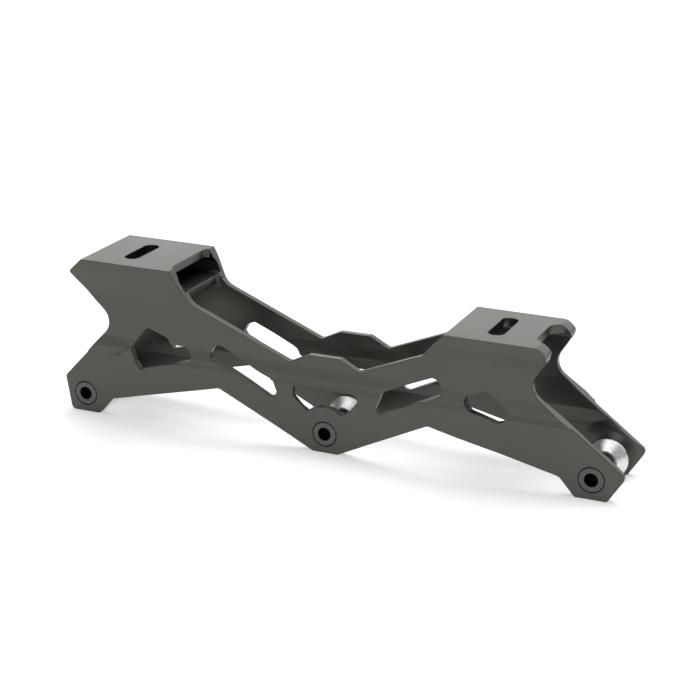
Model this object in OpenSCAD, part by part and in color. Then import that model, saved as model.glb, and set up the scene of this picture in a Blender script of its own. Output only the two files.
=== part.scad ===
// Three-wheel inline skate frame: one machined aluminium extrusion with two boot decks,
// three screw-in axles and the loose bearing spacer that each axle carries.
// +X points to the toe, +Y to the threaded side, +Z up. The frame stands on its lugs.

/* [Wheelbase] */
// Distance between neighbouring axles
axle_pitch = 115; // [112:0.5:122]
// Height of the axle line above the feet of the lugs
axle_h = 8.4; // [7.5:0.1:10]
// Length of the flat foot under the rear and front lugs
foot_l = 13.6; // [10:0.1:18]
// Length of the flat foot under the middle lug
middle_foot_l = 11.3; // [8:0.1:16]

/* [Boot mounts] */
// Distance between the heel slot and the toe slot
mount_spacing = 165; // [160:0.5:172]
// Distance of the middle of the two slots behind the middle axle
mount_setback = 11.4; // [8:0.1:14]
// Height of the heel deck above the axle line
heel_z = 63; // [60:0.1:70]
// Height of the toe deck, and of the web below the heel deck, above the axle line
toe_z = 52.6; // [50:0.1:54]
// Length of the heel deck behind its slot
heel_back = 18.1; // [14:0.1:22]
// Length of the heel deck in front of its slot
heel_front = 24.3; // [20:0.1:28]
// Length of the toe deck behind its slot
toe_back = 18.1; // [14:0.1:22]
// Length of the toe deck in front of its slot
toe_front = 20.9; // [17:0.1:24]
// Depth of the hollow in the heel deck's front edge
heel_hollow = 1.8; // [0.5:0.1:3]
// Reach of the web below the heel deck in front of that deck
web_reach = 4.6; // [3:0.1:6]
// Depth of the hollow in the toe deck's front edge
toe_hollow = 4.1; // [2:0.1:6]
// Width of the hollow in the toe deck's front edge
toe_hollow_w = 24.8; // [20:0.1:26]
// Radius in the corners of the toe deck's hollow
toe_hollow_r = 9; // [4:0.1:10]
// Width of the boot slots
slot_w = 6.8; // [5:0.1:8]
// End to end length of the boot slots, across the frame
slot_l = 22.8; // [14:0.1:26]
// Width of the key opening in the web below the heel slot
access_w = 11; // [8:0.1:14]
// End to end length of the key opening, across the frame
access_l = 26; // [16:0.1:28]

/* [Section] */
// Width over the machined lug faces
lug_w = 32.6; // [31:0.1:34]
// Width over the walls at the crease
wall_w = 34.6; // [34.2:0.1:36]
// Height of the bead above the crease, out of the wall
bead_h = 1.1; // [0.4:0.1:1.6]
// Height of the bead's crown above the crease
bead_rise = 3.4; // [2:0.1:5]
// Width over the upright walls of the arms
arm_w = 34.9; // [34.2:0.1:36]
// Width over the flared toe deck
toe_w = 40; // [38:0.1:42]
// Width over the flared heel deck
heel_w = 41.8; // [40:0.1:46]
// Height of the flare below the toe deck
toe_flare = 10.8; // [8:0.1:14]
// Height of the flare below the heel deck
heel_flare = 15; // [12:0.1:18]
// Height of the crease above the axle line
crease_z = 20.4; // [19:0.1:22]
// Width between the hub pads that the wheel bearings lean on
hub_w = 25.4; // [24.4:0.1:26.4]
// Width of the channel below the ribs
channel_w = 28.6; // [27.6:0.1:29.4]
// Width between the ribs above the wheel hubs
rib_w = 26.8; // [25.8:0.1:27.4]
// Height above the axle line at which the ribs start to grow out of the channel walls
rib_low_z = 12; // [11:0.1:13]
// Height of the ribs' lower edge above the axle line
rib_z = 17.8; // [16:0.1:19]
// Height above the axle line at which the ribs start to run out into the upright walls
rib_high_z = 24.5; // [23:0.1:26]
// Thickness of the upright walls
wall_t = 3.1; // [2.6:0.1:4]
// Thickness of the heel deck
deck_t = 3.7; // [3:0.1:4.6]
// Thickness of the toe deck and of the web below the heel deck
web_t = 3.9; // [3:0.1:5]
// Diameter of a hub pad's face
pad_d = 19; // [17:0.5:23]
// Diameter of a hub pad where it leaves the channel wall
pad_base_d = 30; // [26:0.5:32]
// Radius in the inside corners below and above the web
inside_r = 2; // [0.5:0.1:2.5]
// Radius that the cutter leaves under the crease
recess_r = 0.9; // [0.3:0.1:1]

/* [Axles] */
// Diameter of the axle shank
shank_d = 8; // [6:0.1:8.6]
// Diameter of the axle head
head_d = 10.5; // [9.6:0.1:12.5]
// Thickness of the axle head
head_t = 1.9; // [1.2:0.1:2.3]
// Width across the flats of the hex socket
hex_af = 5; // [3:0.1:5.5]
// Depth of the hex socket
hex_depth = 3.6; // [2:0.1:6]
// Gap around the head in its recess
head_gap = 0.2; // [0.1:0.05:0.4]
// Radial clearance of the shank in the frame
bore_gap = 0.05; // [0.02:0.01:0.15]
// Distance of the axle's tip inside the far lug face
tip_inset = 0.4; // [0.1:0.1:1]

/* [Bearing spacers] */
// Length of a bearing spacer
spacer_l = 10.3; // [8:0.1:12]
// Diameter of the spacer's middle rim
rim_d = 16.8; // [13:0.1:19]
// Width of the spacer's middle rim
rim_w = 1.8; // [0.8:0.1:3]
// Diameter of the spacer's ends
spacer_end_d = 11; // [9.6:0.1:12]
// Length of the straight stretch at each end of a spacer
spacer_end_l = 0.8; // [0.3:0.1:1.5]
// Radial play of a spacer on its axle
spacer_play = 0.1; // [0.05:0.01:0.3]
// Gap between a spacer and the wall it leans on
spacer_gap = 0.1; // [0.05:0.01:0.3]

/* [Hidden] */
$fn = 64;
// Largest turn between two points on a rounded corner, in degrees
arc_step = 12;
// Distance by which a cut runs past the face that it opens
past = 2;
frame_grey = [0.345, 0.341, 0.322];
axle_grey = [0.28, 0.28, 0.275];
bright_metal = [0.85, 0.85, 0.84];

// Places along the frame, from the middle axle
rear_x = -axle_pitch;
front_x = axle_pitch;
heel_x = -mount_setback - mount_spacing / 2;
toe_x = -mount_setback + mount_spacing / 2;
rear_arch_x = rear_x / 2 + 8.7;
front_arch_x = front_x / 2 - 11.5;
// Heights, from the axle line
foot_z = -axle_h;
web_bottom = toe_z - web_t;
tunnel_top = heel_z - deck_t;
bead_z = crease_z + bead_rise;
// Half widths
lug_y = lug_w / 2;
wall_y = wall_w / 2;
arm_y = arm_w / 2;
inner_y = arm_y - wall_t;
tunnel_high_y = heel_w / 2 - wall_t - 0.5;
tunnel_low_y = tunnel_high_y - 1;
hub_y = hub_w / 2;
channel_y = channel_w / 2;
rib_y = rib_w / 2;

// Side outline as [x, z, corner radius], anticlockwise from the rear lug's foot
side_corners = [
    [rear_x - foot_l / 2 - 0.4, foot_z, 2.5], [rear_x + foot_l / 2 - 0.1, foot_z, 1.8],
    [rear_x + 13.2, -0.7, 2], [rear_arch_x, 12.95, 3],
    [-middle_foot_l / 2 + 0.3, foot_z, 2], [middle_foot_l / 2 + 0.3, foot_z, 2],
    [front_arch_x, 11.45, 3], [front_x - 13.2, -0.95, 4],
    [front_x - foot_l / 2 + 0.2, foot_z, 2], [front_x + foot_l / 2, foot_z, 1.8],
    [front_x + 14.1, 3.1, 2.5], [front_x - 27.5, 34.1, 7],
    [toe_x + toe_front + 4.5, toe_z - 3.9, 3.3], [toe_x + toe_front, toe_z, 4.5],
    [toe_x - toe_back, toe_z, 1], [toe_x - toe_back - 10, toe_z - 11.2, 3],
    [15.7, 30.2, 3], [7.4, 34.6, 2], [-6.6, 34.4, 2], [-15.3, 30.1, 2],
    [heel_x + heel_front + 7.9, heel_z - 14, 9], [heel_x + heel_front, heel_z, 0.8],
    [heel_x - heel_back, heel_z, 0.8], [heel_x - heel_back - 6.8, heel_z - 6.4, 1],
    [rear_x + 6, 45.75, 30], [rear_x + 16.7, 35.9, 9.2], [rear_x - 9.9, 7, 1.5]];
// Windows as [x, z, corner radius] from the axle or arch that each belongs to
rear_window = [[28, 15.2, 1.4], [52.8, 23.1, 1.6], [54.2, 26.2, 1.6], [50.7, 29.5, 1.5],
               [45.3, 29.3, 1.5], [42, 32.1, 1.2], [32.5, 35.5, 2.4], [23.3, 25.1, 1.2], [25.6, 18.3, 1.2]];
rear_slot = [[23.8, 13.1, 1.6], [25.9, 13.3, 1.6], [26.8, 15.5, 1.4], [24.6, 21.3, 2],
             [1.7, 32.3, 1.8], [-1.7, 31.7, 1.6], [-3.8, 27.9, 1.6], [-2.6, 25.9, 1.4]];
// The threaded wall's rear slot is taller at its front end
far_slot = [[23.8, 13.1, 1.6], [25.9, 13.3, 1.6], [26.8, 15.5, 1.4], [22.3, 24.6, 2],
            [1.7, 33.2, 1.8], [-1.7, 31.7, 1.6], [-3.8, 27.9, 1.6], [-2.6, 25.9, 1.4]];
middle_window = [[-7.5, 8.6, 0], [6, 8.6, 0], [11.3, 11.9, 3], [15, 16.6, 3],
                 [13.4, crease_z - 0.9, 1.5], [-14.5, crease_z - 0.9, 1.6], [-14.5, 15, 1.8]];
front_slot = [[-22.8, 13.4, 1.3], [-20.1, 13.2, 1.3], [5.7, 25.7, 1.3], [6, 27.5, 1.3],
              [4.2, 31.9, 1.3], [1.7, 32.7, 1.3], [-17.7, 24.4, 1.3], [-20.3, 22.4, 1.3], [-23.2, 15.1, 1.3]];
front_window = [[-51, 20.7, 1.8], [-39.6, 17.5, 1.4], [-37.3, 18, 1.4], [-34.8, 22.8, 1.2],
                [-35, 24, 1.2], [-43.6, 30.2, 1.2], [-44.9, 30.6, 1.2], [-52.8, 27.6, 1.2],
                [-53.3, 25.2, 1.2], [-52.9, 23.5, 1.2]];
// Radius of metal left round the middle axle
boss_r = 12;
// Metal left between the disc behind a hub pad and the lug face
pad_inset = 0.4;

// Height over which the bead runs out into the upright wall, and a rib on the inside of it
bead_run = 5.4;
rib_run = 4.5;
// Height and lean of the edge of a deck, above its flare
deck_edge_h = 4.4;
deck_lean = 0.4;

// Outside of a wall as [y, z, corner radius]: crease, bead, upright arm and the flare below the deck
function wall_outside(deck_y, deck_z, flare) = [
    [wall_y, foot_z - past, 0], [wall_y, crease_z, 0], [wall_y + bead_h, bead_z, 3],
    [arm_y, bead_z + bead_run, 8], [arm_y, deck_z - flare, 7],
    [deck_y - deck_lean, deck_z - deck_edge_h, 5], [deck_y, deck_z, 0]];

// Outline of a section from its right half, given from the bottom up
function both_halves(half) = concat(half, [
    for (i = [len(half) - 1 : -1 : 0])
        [-half[i].x, half[i].y, half[i][2]]]);

// Rounding of corner i: [centre, radius, first angle, turn], with a fillet limited by its edges
function unit(v) = v / norm(v);
function flat(p) = [p.x, p.y];
function rounding(corners, i) =
    let (n = len(corners),
         p = flat(corners[i]),
         back = flat(corners[(i + n - 1) % n]) - p,
         ahead = flat(corners[(i + 1) % n]) - p,
         into = -unit(back),
         turn = atan2(into.x * ahead.y - into.y * ahead.x, into * ahead),
         tangent = min(corners[i][2] * tan(abs(turn) / 2), 0.49 * min(norm(back), norm(ahead))),
         radius = tangent / tan(abs(turn) / 2),
         side = sign(turn))
    [p - into * tangent + [-into.y, into.x] * side * radius, radius,
     atan2(into.y, into.x) - 90 * side, turn];

// Points of an outline whose corners are [x, y, radius], with an arc at each rounded corner
function rounded(corners) = [
    for (i = [0 : len(corners) - 1])
        let (arc = rounding(corners, i), steps = arc[1] == 0 ? 0 : ceil(abs(arc[3]) / arc_step))
            for (k = [0 : steps])
                let (a = arc[2] + (steps == 0 ? 0 : arc[3] * k / steps))
                    arc[0] + arc[1] * [cos(a), sin(a)]];

// Middle of the side outline, between the tips of the rear and front lugs
rear_tip = rounding(side_corners, len(side_corners) - 1);
front_tip = rounding(side_corners, 10);
middle_x = (rear_tip[0].x - rear_tip[1] + front_tip[0].x + front_tip[1]) / 2;

// Moves the axle line to its height and the middle of the frame to the origin
module stand() {
    translate([-middle_x, 0, axle_h])
        children();
}

// Extrudes a side view across the frame, from y0 to y1
module across(y0, y1) {
    translate([0, y1, 0])
        rotate([90, 0, 0])
            linear_extrude(y1 - y0)
                children();
}

// Extrudes a cross-section along the frame, from x0 to x1
module along(x0, x1) {
    translate([x0, 0, 0])
        rotate([90, 0, 90])
            linear_extrude(x1 - x0)
                children();
}

// Cross-section of the frame below one deck: flared walls, the web and the ribbed channel below it
module section(deck_y, deck_z, flare) {
    difference() {
        polygon(rounded(both_halves(wall_outside(deck_y, deck_z, flare))));
        polygon(rounded(both_halves([
            [channel_y, foot_z - 2 * past, 0], [channel_y, rib_low_z, 0], [rib_y, rib_z, 0.6],
            [rib_y, rib_high_z, 4], [inner_y, rib_high_z + rib_run, 4], [inner_y, web_bottom, inside_r]])));
    }
}

// Tunnel between the heel deck and the web, in cross-section
module tunnel() {
    polygon(rounded(both_halves([
        [tunnel_low_y, toe_z, inside_r], [tunnel_high_y, tunnel_top, inside_r]])));
}

// Conical hub pads on the inside of both walls, round the axle at x
module hub_pads(x) {
    rise = channel_y - hub_y;
    for (side = [-1, 1])
        translate([x, side * hub_y, 0])
            rotate([-90 * side, 0, 0]) {
                cylinder(d1 = pad_d, d2 = pad_base_d, h = rise);
                translate([0, 0, rise])
                    cylinder(d = pad_base_d, h = lug_y - channel_y - pad_inset);
            }
}

// Windows of the side view
module windows() {
    translate([rear_x, 0])
        polygon(rounded(rear_window));
    translate([rear_arch_x, 0])
        polygon(rounded(rear_slot));
    difference() {
        polygon(rounded(middle_window));
        circle(boss_r);
    }
    translate([front_arch_x, 0])
        polygon(rounded(front_slot));
    translate([front_x, 0])
        polygon(rounded(front_window));
}

// Metal milled off one wall below the crease, which leaves the lug faces and fades out at the arches
module lug_recess() {
    fade_y = wall_y + 0.1;
    end_x = axle_pitch + 2 * foot_l;
    intersection() {
        translate([0, 0, foot_z - past])
            linear_extrude(crease_z - foot_z + past)
                polygon([[-end_x, lug_y], [rear_x + 29, lug_y], [rear_x + 60, fade_y], [rear_x + 62, fade_y],
                         [-24, lug_y], [23, lug_y], [front_x - 62, fade_y], [front_x - 58, fade_y],
                         [front_x - 37, lug_y], [end_x, lug_y], [end_x, heel_w], [-end_x, heel_w]]);
        along(-end_x - past, end_x + past)
            polygon(rounded([[lug_y, foot_z - 2 * past, 0], [heel_w + past, foot_z - 2 * past, 0],
                             [heel_w + past, crease_z, 0], [lug_y, crease_z, recess_r]]));
    }
    // The rear recess climbs to the corner of the rear window
    across(lug_y, heel_w)
        polygon([[rear_x + 17, crease_z - 1], [rear_x + 26, crease_z - 1],
                 [rear_x + 26, crease_z], [rear_x + 23.8, 25.2], [rear_x + 17, crease_z]]);
}

// Scoop with rounded inner corners, cut forward from x0 through the heights z0 to z1
module scoop(x0, length, half_w, radius, z0, z1) {
    translate([x0, 0, z0])
        linear_extrude(z1 - z0)
            polygon(rounded([[0, half_w, radius], [0, -half_w, radius],
                             [length, -half_w, 0], [length, half_w, 0]]));
}

// Ends of the decks and of the web, set back between the walls
module deck_ends() {
    heel_end_x = heel_x + heel_front;
    end_cut_l = 12;
    scoop(heel_end_x - heel_hollow, end_cut_l, tunnel_low_y - 0.2, 3, tunnel_top - past, heel_z + past);
    scoop(heel_end_x + web_reach, end_cut_l, inner_y, 2.5, web_bottom - past, toe_z + past);
    scoop(toe_x + toe_front - toe_hollow, end_cut_l, toe_hollow_w / 2, toe_hollow_r,
          web_bottom - past, toe_z + past);
}

// Slot across the frame at x, with round ends, cut from z0 to z1
module cross_slot(x, width, length, z0, z1) {
    reach = (length - width) / 2;
    translate([x, 0, z0]) {
        for (side = [-1, 1])
            translate([0, side * reach, 0])
                cylinder(d = width, h = z1 - z0);
        translate([-width / 2, -reach, 0])
            cube([width, 2 * reach, z1 - z0]);
    }
}

// Through bore of an axle, with the recess for its head in the near lug
module axle_bore() {
    rotate([-90, 0, 0])
        cylinder(d = shank_d + 2 * bore_gap, h = wall_w + 2 * past, center = true);
    translate([0, -lug_y + head_t, 0])
        rotate([90, 0, 0])
            cylinder(d = head_d + 2 * head_gap, h = head_t + wall_w - lug_w + past);
}

// The extruded and machined frame
module frame() {
    end_x = axle_pitch + 2 * foot_l;
    color(frame_grey)
        stand()
            difference() {
                intersection() {
                    union() {
                        along(-end_x, 0)
                            section(heel_w / 2, heel_z, heel_flare);
                        along(0, end_x)
                            section(toe_w / 2, toe_z, toe_flare);
                        for (x = [rear_x, 0, front_x])
                            hub_pads(x);
                    }
                    across(-heel_w, heel_w)
                        difference() {
                            polygon(rounded(side_corners));
                            windows();
                        }
                }
                along(-end_x, 0)
                    tunnel();
                across(0, heel_w)
                    translate([rear_arch_x, 0])
                        polygon(rounded(far_slot));
                for (side = [0, 1])
                    mirror([0, side, 0])
                        lug_recess();
                deck_ends();
                cross_slot(heel_x, slot_w, slot_l, tunnel_top - past, heel_z + past);
                cross_slot(heel_x, access_w, access_l, web_bottom - past, toe_z + past);
                cross_slot(toe_x, slot_w, slot_l, web_bottom - past, toe_z + past);
                for (x = [rear_x, 0, front_x])
                    translate([x, 0, 0])
                        axle_bore();
            }
}

// Screw-in axle at x: flush head with a hex socket, plain shank and chamfered tip
module axle(x) {
    length = lug_w - tip_inset;
    edge = 0.25;
    tip = 0.8;
    socket_d = hex_af / cos(30);
    color(axle_grey)
        stand()
            translate([x, -lug_y, 0])
                rotate([-90, 0, 0])
                    difference() {
                        rotate_extrude()
                            polygon([[0, 0], [head_d / 2 - edge, 0], [head_d / 2, edge], [head_d / 2, head_t],
                                     [shank_d / 2, head_t], [shank_d / 2, length - tip],
                                     [shank_d / 2 - tip, length], [0, length]]);
                        translate([0, 0, -past])
                            cylinder(d = socket_d, h = hex_depth + past, $fn = 6);
                        translate([0, 0, -0.01])
                            cylinder(d1 = socket_d + 0.1, d2 = hex_af, h = (socket_d - hex_af) / 2);
                    }
}

// Bearing spacer on the axle at x: a double cone with a middle rim, leaning on the threaded side
module spacer(x) {
    bore_r = shank_d / 2 + spacer_play;
    end_r = spacer_end_d / 2;
    half = spacer_l / 2;
    color(bright_metal)
        stand()
            translate([x, hub_y - spacer_gap - half, 0])
                rotate([-90, 0, 0])
                    rotate_extrude()
                        polygon([[bore_r, -half], [end_r, -half], [end_r, spacer_end_l - half],
                                 [rim_d / 2, -rim_w / 2], [rim_d / 2, rim_w / 2],
                                 [end_r, half - spacer_end_l], [end_r, half], [bore_r, half]]);
}

module axle_rear() { axle(rear_x); }
module axle_middle() { axle(0); }
module axle_front() { axle(front_x); }
module spacer_rear() { spacer(rear_x); }
module spacer_middle() { spacer(0); }
module spacer_front() { spacer(front_x); }

frame();
axle_rear();
axle_middle();
axle_front();
spacer_rear();
spacer_middle();
spacer_front();
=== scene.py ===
"""Looks of a three-wheel inline skate frame: satin anodised extrusion, screw-in axles and turned spacers."""
import math

import bmesh
import bpy
from mathutils import Matrix, Vector
from mathutils.bvhtree import BVHTree
from mathutils.geometry import area_tri, normal as normal_of
from mathutils.kdtree import KDTree


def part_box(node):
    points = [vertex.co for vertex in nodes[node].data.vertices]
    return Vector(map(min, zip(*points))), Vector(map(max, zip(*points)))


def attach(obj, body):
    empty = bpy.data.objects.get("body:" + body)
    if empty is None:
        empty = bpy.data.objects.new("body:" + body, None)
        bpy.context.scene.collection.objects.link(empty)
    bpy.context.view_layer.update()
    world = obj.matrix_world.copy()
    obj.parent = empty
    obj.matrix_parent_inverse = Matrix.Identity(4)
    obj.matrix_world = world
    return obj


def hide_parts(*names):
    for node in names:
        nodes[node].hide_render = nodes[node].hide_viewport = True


MM = 0.001
PLACES = ("rear", "middle", "front")

# Camera, at the photograph's viewing angle
CAMERA_PLACE = Vector((290.31, -664.528, 298.716)) * MM
CAMERA_AZIMUTH = math.radians(23.411)
CAMERA_ELEVATION = math.radians(19.591)
CAMERA_ROLL = math.radians(0.4546)
CAMERA_SENSOR = 36.0
CAMERA_LENS = 94.76

# Studio: white floor, grey tent and three soft boxes
FLOOR_HALF = 6.0
FLOOR_WHITE = 0.8
FLOOR_GLOW = 0.42
TENT_LEVEL = 0.30
SOFT_BOX_AIM = Vector((0.0, 0.0, 0.03))
SOFT_BOXES = {
    # name: place, width, height (metres), power (watts)
    "overhead": (Vector((0.0, 0.35, 1.5)), 1.6, 1.2, 20.0),
    "back": (Vector((-0.3, 2.2, 0.9)), 4.4, 1.3, 28.0),
    "front": (Vector((0.4, -2.3, 0.5)), 3.2, 0.9, 9.0),
}

# Colours, as linear light
ANODISED = (0.090, 0.0875, 0.0790)
AXLE_GREY = (0.105, 0.104, 0.097)
# Painted shade: near black on the hex socket faces, standing in for the shade deep in the holes
SOCKET_PAINTED_SHADE = (0.006, 0.006, 0.006)
TURNED = (0.78, 0.78, 0.77)

# Roughness of each finish, and how deep its lines and grooves look
FRAME_ROUGHNESS = 0.38
AXLE_ROUGHNESS = 0.38
SOCKET_ROUGHNESS = 0.6
SPACER_ROUGHNESS = 0.46
EXTRUSION_LINES = 0.12
LATHE_GROOVES = 0.10

# Stretch of a highlight across the lathe's grooves, and the quarter turn that sets it across them
PLAIN_SHEEN = 0.0
SPACER_SHEEN = 0.35
ACROSS_GROOVES = 0.25

# Patterns in the finishes: cells per metre, and the share of that along a line or groove
CLOUD_SCALE = 28.0
LINE_SCALE = 900.0
GRAIN_SCALE = 5200.0
GROOVE_SCALE = 4200.0
MOTTLE_SCALE = 700.0
DRAWN_OUT = 0.02
NOISE_LOW = 0.3
NOISE_HIGH = 0.7

# How much the patterns change colour, roughness and surface
CLOUD_TINTS = (0.94, 1.06)
CLOUD_ROUGHNESS = 0.03
MOTTLE_TINTS = (0.82, 1.08)
MOTTLE_ROUGHNESS = 0.05
LINE_DEPTH = 0.02 * MM
GRAIN_DEPTH = 0.012 * MM
GRAIN_STRENGTH = 0.25

# Broken edges of the extrusion
EDGE_BREAK = 0.3 * MM
BREAK_FACETS = 2
ROUND_PROFILE = 0.5
BREAK_ANGLE = math.radians(19)
FLAT_ANGLE = math.radians(0.5)
SAME_PLACE = 0.002 * MM
EDGE_END = 1.5 * MM
LONG_EDGE = 3 * EDGE_END
EDGE_STEP = 0.5 * MM
BREAK_TRIES = 12

# A face is folded where it lies this far off the solid, or is turned over by more than this cosine
FOLD_GAP = 0.15 * MM
FOLD_TURN = -0.2
SLIVER_AREA = 0.001 * MM * MM

# Edges over these angles stay crisp
EXTRUSION_CRISP = math.radians(35)
TURNED_CRISP = math.radians(25)

# Screw-in axle
TURNS = 96
# Material slots of the axle: its metal, and the painted shade inside the hex socket
METAL = 0
PAINTED_SHADE_SLOT = 1
HEX_AF = 5.0 * MM
HEX_DEPTH = 3.6 * MM
HEX_DRAFT = 0.98
DRILL_TIP_R = 0.3 * MM
DRILL_TIP_L = 0.5 * MM
SOCKET_CHAMFER = 0.45 * MM
SOCKET_LIP = 0.05 * MM
HEAD_T = 1.9 * MM
SHANK_R = 4.0 * MM
NECK = 0.3 * MM
THREAD_L = 7.0 * MM
THREAD_PITCH = 1.0 * MM
THREAD_DEPTH = 0.55 * MM
THREAD_START = 0.6 * MM
THREAD_STEPS = 10
TIP_CHAMFER = 0.8 * MM

# Bearing spacer
SPACER_PLAY = 0.1 * MM
SPACER_END_R = 5.5 * MM
SPACER_END_L = 0.8 * MM
SPACER_EDGE = 0.25 * MM
RIM_HALF = 0.9 * MM

# Rounded edges of the head and the rim: how far in from the radius, and how far on from the face
HEAD_CURVE = ((0.35 * MM, 0.0), (0.1 * MM, 0.12 * MM), (0.0, 0.35 * MM))
RIM_CURVE = ((0.25 * MM, -0.1 * MM), (0.06 * MM, 0.12 * MM), (0.0, 0.4 * MM))

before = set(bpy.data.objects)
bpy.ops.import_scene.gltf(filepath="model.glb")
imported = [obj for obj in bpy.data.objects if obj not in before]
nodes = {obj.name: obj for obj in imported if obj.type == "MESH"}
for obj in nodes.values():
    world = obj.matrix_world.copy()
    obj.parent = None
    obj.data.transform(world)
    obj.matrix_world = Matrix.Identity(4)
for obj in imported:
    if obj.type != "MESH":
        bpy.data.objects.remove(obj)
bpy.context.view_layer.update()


def make_camera():
    """Camera at the photograph's place, angle and lens."""
    data = bpy.data.cameras.new("camera")
    data.sensor_width = CAMERA_SENSOR
    data.lens = CAMERA_LENS
    camera = bpy.data.objects.new("camera", data)
    turn = Matrix.Rotation(CAMERA_AZIMUTH, 4, "Z")
    tilt = Matrix.Rotation(math.pi / 2 - CAMERA_ELEVATION, 4, "X")
    roll = Matrix.Rotation(CAMERA_ROLL, 4, "Z")
    camera.matrix_world = Matrix.Translation(CAMERA_PLACE) @ turn @ tilt @ roll
    bpy.context.scene.collection.objects.link(camera)
    bpy.context.scene.camera = camera


class Finish:
    """Short calls for building one material's node tree."""

    def __init__(self, name):
        self.material = bpy.data.materials.new(name)
        self.material.use_nodes = True
        self.tree = self.material.node_tree
        self.shader = self.tree.nodes["Principled BSDF"]
        self.output = self.tree.nodes["Material Output"]

    def add(self, kind, **values):
        """New node with its properties set."""
        node = self.tree.nodes.new(kind)
        for key, value in values.items():
            setattr(node, key, value)
        return node

    def link(self, out, into):
        """Link from an output to an input."""
        self.tree.links.new(out, into)

    def set(self, **values):
        """Constant values on the shader's own sockets."""
        for key, value in values.items():
            self.shader.inputs[key.replace("_", " ")].default_value = value

    def drive(self, **levels):
        """Patterns linked to the shader's sockets."""
        for key, level in levels.items():
            self.link(level, self.shader.inputs[key.replace("_", " ")])

    def place(self, x=1.0, y=1.0, z=1.0):
        """Object coordinates, stretched."""
        coords = self.add("ShaderNodeTexCoord")
        stretch = self.add("ShaderNodeMapping")
        stretch.inputs["Scale"].default_value = (x, y, z)
        self.link(coords.outputs["Object"], stretch.inputs["Vector"])
        return stretch.outputs["Vector"]

    def noise(self, place, scale, detail):
        """Noise level from 0 to 1."""
        noise = self.add("ShaderNodeTexNoise")
        noise.inputs["Scale"].default_value = scale
        noise.inputs["Detail"].default_value = detail
        self.link(place, noise.inputs["Vector"])
        return noise.outputs["Fac"]

    def spread(self, level, low, high):
        """Usual range of a noise level spread over low to high."""
        spread = self.add("ShaderNodeMapRange")
        spread.inputs["From Min"].default_value = NOISE_LOW
        spread.inputs["From Max"].default_value = NOISE_HIGH
        spread.inputs["To Min"].default_value = low
        spread.inputs["To Max"].default_value = high
        self.link(level, spread.inputs["Value"])
        return spread.outputs["Result"]

    def tint(self, level, colour, tints):
        """Colour made darker and lighter by a level."""
        mix = self.add("ShaderNodeMix", data_type="RGBA")
        for socket, factor in zip("AB", tints):
            mix.inputs[socket].default_value = (*(c * factor for c in colour), 1)
        self.link(self.spread(level, 0.0, 1.0), mix.inputs["Factor"])
        return mix.outputs["Result"]

    def bump(self, level, strength, depth, under=None):
        """Surface normal roughened by a level, over another bump."""
        bump = self.add("ShaderNodeBump")
        bump.inputs["Strength"].default_value = strength
        bump.inputs["Distance"].default_value = depth
        self.link(level, bump.inputs["Height"])
        if under is not None:
            self.link(under, bump.inputs["Normal"])
        return bump.outputs["Normal"]


def anodised(name, colour, roughness, streak):
    """Blasted and anodised aluminium: fine grain, faint clouding and extrusion lines along the frame."""
    finish = Finish(name)
    finish.set(Metallic=1.0)
    even = finish.place()
    cloud = finish.noise(even, CLOUD_SCALE, detail=3.0)
    lines = finish.noise(finish.place(x=DRAWN_OUT), LINE_SCALE, detail=2.0)
    grain = finish.noise(even, GRAIN_SCALE, detail=1.0)
    lined = finish.bump(lines, streak, LINE_DEPTH)
    finish.drive(Base_Color=finish.tint(cloud, colour, CLOUD_TINTS),
                 Roughness=finish.spread(cloud, roughness - CLOUD_ROUGHNESS, roughness + CLOUD_ROUGHNESS),
                 Normal=finish.bump(grain, GRAIN_STRENGTH, GRAIN_DEPTH, under=lined))
    return finish.material


def turned_metal(name, colour, roughness, sheen):
    """Lathe-turned metal with fine grooves round its axis, which lies along Y."""
    finish = Finish(name)
    finish.set(Metallic=1.0, Anisotropic=sheen, Anisotropic_Rotation=ACROSS_GROOVES)
    round_axis = finish.add("ShaderNodeTangent", direction_type="RADIAL", axis="Y")
    grooves = finish.noise(finish.place(x=DRAWN_OUT, z=DRAWN_OUT), GROOVE_SCALE, detail=2.0)
    mottle = finish.noise(finish.place(), MOTTLE_SCALE, detail=2.0)
    finish.drive(Base_Color=finish.tint(mottle, colour, MOTTLE_TINTS),
                 Roughness=finish.spread(mottle, roughness - MOTTLE_ROUGHNESS, roughness + MOTTLE_ROUGHNESS),
                 Normal=finish.bump(grooves, LATHE_GROOVES, LINE_DEPTH),
                 Tangent=round_axis.outputs["Tangent"])
    return finish.material


def floor_material():
    """White floor that shows white to the camera and in reflections, and keeps the object's shadow."""
    finish = Finish("floor_white")
    finish.tree.nodes.remove(finish.shader)
    paint = finish.add("ShaderNodeBsdfDiffuse")
    paint.inputs["Color"].default_value = (FLOOR_WHITE, FLOOR_WHITE, FLOOR_WHITE, 1)
    glow = finish.add("ShaderNodeEmission")
    path = finish.add("ShaderNodeLightPath")
    seen = finish.add("ShaderNodeMath", operation="MAXIMUM")
    finish.link(path.outputs["Is Camera Ray"], seen.inputs[0])
    finish.link(path.outputs["Is Glossy Ray"], seen.inputs[1])
    shown = finish.add("ShaderNodeMath", operation="MAXIMUM")
    finish.link(seen.outputs["Value"], shown.inputs[0])
    finish.link(path.outputs["Is Transmission Ray"], shown.inputs[1])
    level = finish.add("ShaderNodeMath", operation="MULTIPLY")
    level.inputs[1].default_value = FLOOR_GLOW
    finish.link(shown.outputs["Value"], level.inputs[0])
    finish.link(level.outputs["Value"], glow.inputs["Strength"])
    both = finish.add("ShaderNodeAddShader")
    finish.link(paint.outputs["BSDF"], both.inputs[0])
    finish.link(glow.outputs["Emission"], both.inputs[1])
    finish.link(both.outputs["Shader"], finish.output.inputs["Surface"])
    return finish.material


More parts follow.
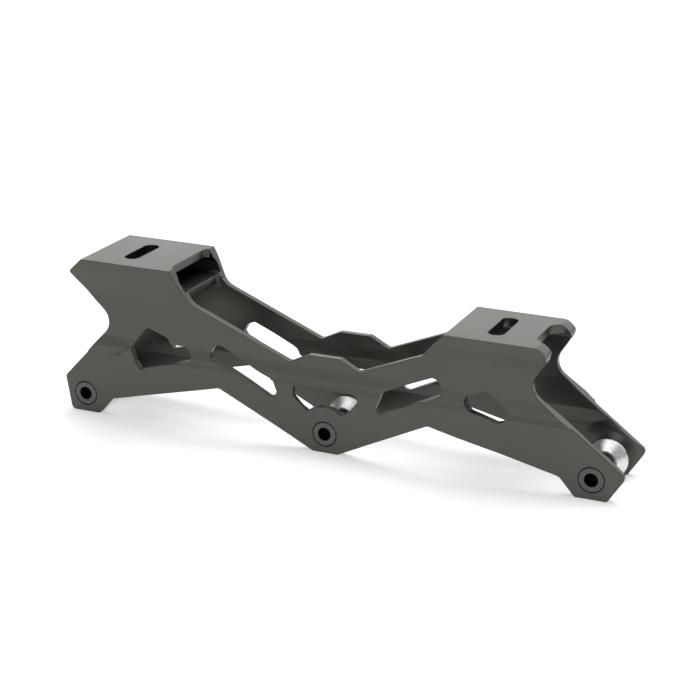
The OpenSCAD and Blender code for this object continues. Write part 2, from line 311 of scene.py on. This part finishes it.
def make_floor():
    """Plain white floor under the object."""
    half = FLOOR_HALF
    corners = [(-half, -half, 0), (half, -half, 0), (half, half, 0), (-half, half, 0)]
    mesh = bpy.data.meshes.new("floor")
    mesh.from_pydata(corners, [], [(0, 1, 2, 3)])
    mesh.materials.append(floor_material())
    floor = bpy.data.objects.new("floor", mesh)
    bpy.context.scene.collection.objects.link(floor)


def make_light():
    """Grey studio tent with soft boxes."""
    scene = bpy.context.scene
    scene.view_settings.view_transform = "Standard"
    world = bpy.data.worlds.new("studio")
    world.use_nodes = True
    sky = world.node_tree.nodes["Background"]
    sky.inputs["Color"].default_value = (1, 1, 1, 1)
    sky.inputs["Strength"].default_value = TENT_LEVEL
    scene.world = world
    for name, (place, width, height, power) in SOFT_BOXES.items():
        data = bpy.data.lights.new(name, "AREA")
        data.shape = "RECTANGLE"
        data.size = width
        data.size_y = height
        data.energy = power
        light = bpy.data.objects.new(name, data)
        light.location = place
        light.rotation_euler = (SOFT_BOX_AIM - place).to_track_quat("-Z", "Y").to_euler()
        light.visible_camera = False
        scene.collection.objects.link(light)


def new_piece(name, body, materials, crisp):
    """Smooth piece with its materials, whose edges over an angle stay crisp."""
    for face in body.faces:
        face.smooth = True
    mesh = bpy.data.meshes.new(name)
    body.to_mesh(mesh)
    body.free()
    for material in materials:
        mesh.materials.append(material)
    mesh.set_sharp_from_angle(angle=crisp)
    piece = bpy.data.objects.new(name, mesh)
    bpy.context.scene.collection.objects.link(piece)
    return piece


def stand_for(piece, node):
    """The piece stands for its solid, which it hides, and moves with it."""
    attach(piece, node)
    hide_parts(node)


def is_sharp(edge):
    """Whether an edge of the extrusion is one to break."""
    return edge.is_manifold and edge.calc_face_angle() > BREAK_ANGLE


def whole_faces(solid):
    """Copy of a solid's mesh with flat faces whole, and its long sharp edges cut near both ends."""
    body = bmesh.new()
    body.from_mesh(solid)
    bmesh.ops.remove_doubles(body, verts=body.verts, dist=SAME_PLACE)
    bmesh.ops.dissolve_limit(body, angle_limit=FLAT_ANGLE, verts=body.verts, edges=body.edges)
    for edge in [e for e in body.edges if is_sharp(e) and e.calc_length() > LONG_EDGE]:
        other, _ = bmesh.utils.edge_split(edge, edge.verts[0], EDGE_END / edge.calc_length())
        near, far = sorted((edge, other), key=lambda e: e.calc_length())
        end = next(v for v in far.verts if v not in near.verts)
        bmesh.utils.edge_split(far, end, EDGE_END / far.calc_length())
    body.edges.ensure_lookup_table()
    body.edges.index_update()
    return body


def find_folds(body, surface):
    """Corners of the faces that leave the solid's surface or are turned over."""
    places = []
    for corners in body.calc_loop_triangles():
        a, b, c = (loop.vert.co for loop in corners)
        if area_tri(a, b, c) < SLIVER_AREA:
            continue
        _, normal, _, gap = surface.find_nearest((a + b + c) / 3)
        if gap > FOLD_GAP or normal_of(a, b, c).dot(normal) < FOLD_TURN:
            places += [a.copy(), b.copy(), c.copy()]
    return places


def points_along(edges):
    """Tree of points along edges, and the index of each point's edge."""
    points = []
    for edge in edges:
        a, b = (v.co for v in edge.verts)
        steps = max(1, round(edge.calc_length() / EDGE_STEP))
        points += [(a.lerp(b, k / steps), edge.index) for k in range(steps + 1)]
    tree = KDTree(len(points))
    for k, (place, _) in enumerate(points):
        tree.insert(place, k)
    tree.balance()
    return tree, [index for _, index in points]


def break_edges(solid):
    """Solid's mesh with its sharp edges broken, apart from those that lie too close together for it."""
    surface = BVHTree.FromPolygons([v.co for v in solid.vertices], [p.vertices for p in solid.polygons])
    left_sharp = set()
    for _ in range(BREAK_TRIES):
        body = whole_faces(solid)
        edges = [e for e in body.edges if is_sharp(e) and e.index not in left_sharp]
        tree, owners = points_along(edges)
        bmesh.ops.bevel(body, geom=edges, offset=EDGE_BREAK, offset_type="OFFSET", segments=BREAK_FACETS,
                        profile=ROUND_PROFILE, affect="EDGES", clamp_overlap=False, miter_outer="ARC",
                        loop_slide=True, material=-1)
        folds = find_folds(body, surface)
        if not folds:
            break
        left_sharp.update(owners[tree.find(place)[1]] for place in folds)
    return body


def make_extrusion(metal):
    """Machined extrusion with broken edges."""
    piece = new_piece("extrusion", break_edges(nodes["frame"].data), [metal], EXTRUSION_CRISP)
    even = piece.modifiers.new("even_normals", "WEIGHTED_NORMAL")
    even.keep_sharp = True
    stand_for(piece, "frame")


def stack_rings(rings, centre, tube=False):
    """Mesh of stacked rings round the Y axis, with closed ends, or bent back to its first ring as a tube.

    Each ring is (y, radius function of the angle, material of the band that starts at it).
    """
    body = bmesh.new()
    angles = [2 * math.pi * k / TURNS for k in range(TURNS)]
    loops = []
    for y, radius, _ in rings:
        loops.append([body.verts.new(centre + Vector((radius(a) * math.cos(a), y, radius(a) * math.sin(a))))
                      for a in angles])
    following = loops[1:] + loops[:1] if tube else loops[1:]
    for (_, _, slot), low, high in zip(rings, loops, following):
        for k in range(TURNS):
            n = (k + 1) % TURNS
            body.faces.new((low[k], high[k], high[n], low[n])).material_index = slot
    if not tube:
        body.faces.new(loops[0]).material_index = rings[0][2]
        body.faces.new(reversed(loops[-1])).material_index = rings[-1][2]
    bmesh.ops.recalc_face_normals(body, faces=body.faces)
    return body


def round_at(radius):
    """Ring of one radius."""
    return lambda a: radius


def hexagon(across_flats):
    """Ring that is a hexagon."""
    sixth = math.pi / 3
    return lambda a: across_flats / 2 / math.cos((a + sixth / 2) % sixth - sixth / 2)


def thread_at(y, depth):
    """Ring of the axle's thread: a ridge that climbs one pitch in a turn."""
    def radius(a):
        phase = (y / THREAD_PITCH - a / (2 * math.pi)) % 1.0
        return SHANK_R - depth * abs(2 * phase - 1)
    return radius


def make_axle(place, metal, shade_finish):
    """Screw-in axle: round-edged head with a hex socket whose faces carry painted shade, plain shank and
    threaded tip.
    """
    node = "axle_" + place
    low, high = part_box(node)
    centre = Vector(((low.x + high.x) / 2, low.y, (low.z + high.z) / 2))
    length = high.y - low.y
    head_r = (high.x - low.x) / 2
    corner_r = HEX_AF / math.sqrt(3)
    # The socket's bands, its chamfer included, take the near-black painted shade for the depth of the hex
    # hole
    rings = [(HEX_DEPTH + DRILL_TIP_L, round_at(DRILL_TIP_R), PAINTED_SHADE_SLOT),
             (HEX_DEPTH, hexagon(HEX_DRAFT * HEX_AF), PAINTED_SHADE_SLOT),
             (SOCKET_CHAMFER, hexagon(HEX_AF), PAINTED_SHADE_SLOT),
             (0.0, round_at(corner_r + SOCKET_LIP), METAL)]
    rings += [(on, round_at(head_r - inwards), METAL) for inwards, on in HEAD_CURVE]
    thread_y = length - THREAD_L
    rings += [(HEAD_T, round_at(head_r), METAL),
              (HEAD_T, round_at(SHANK_R + NECK), METAL),
              (HEAD_T + NECK, round_at(SHANK_R), METAL),
              (thread_y - THREAD_START, round_at(SHANK_R), METAL)]
    threaded = THREAD_L - TIP_CHAMFER
    steps = round(threaded / THREAD_PITCH * THREAD_STEPS)
    for k in range(steps + 1):
        y = thread_y + threaded * k / steps
        fade = min(1.0, k / THREAD_STEPS)
        rings.append((y, thread_at(y, fade * THREAD_DEPTH), METAL))
    rings.append((length, round_at(SHANK_R - TIP_CHAMFER), METAL))
    piece = new_piece("screw_axle_" + place, stack_rings(rings, centre), [metal, shade_finish], TURNED_CRISP)
    stand_for(piece, node)


def make_spacer(place, metal):
    """Turned bearing spacer: two hollow cones that meet in a rim."""
    node = "spacer_" + place
    low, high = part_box(node)
    centre = (Vector(low) + Vector(high)) / 2
    half = (high.y - low.y) / 2
    rim_r = (high.x - low.x) / 2
    bore_r = SHANK_R + SPACER_PLAY
    near = [(bore_r, 0.0),
            (bore_r, SPACER_EDGE - half),
            (bore_r + SPACER_EDGE, -half),
            (SPACER_END_R - SPACER_EDGE, -half),
            (SPACER_END_R, SPACER_EDGE - half),
            (SPACER_END_R, SPACER_END_L - half)]
    near += [(rim_r - inwards, on - RIM_HALF) for inwards, on in RIM_CURVE]
    far = [(r, -y) for r, y in reversed(near)]
    rings = [(y, round_at(r), METAL) for r, y in near + far[:-1]]
    piece = new_piece("bearing_spacer_" + place, stack_rings(rings, centre, tube=True), [metal], TURNED_CRISP)
    stand_for(piece, node)


make_camera()
make_floor()
make_light()
make_extrusion(anodised("anodised", ANODISED, FRAME_ROUGHNESS, EXTRUSION_LINES))
axle_metal = turned_metal("axle_metal", AXLE_GREY, AXLE_ROUGHNESS, PLAIN_SHEEN)
# Near-black finish painted into the hex sockets as their shade
socket_shade_finish = turned_metal("socket_painted_shade", SOCKET_PAINTED_SHADE, SOCKET_ROUGHNESS, PLAIN_SHEEN)
spacer_metal = turned_metal("turned_aluminium", TURNED, SPACER_ROUGHNESS, SPACER_SHEEN)
for place in PLACES:
    make_axle(place, axle_metal, socket_shade_finish)
    make_spacer(place, spacer_metal)
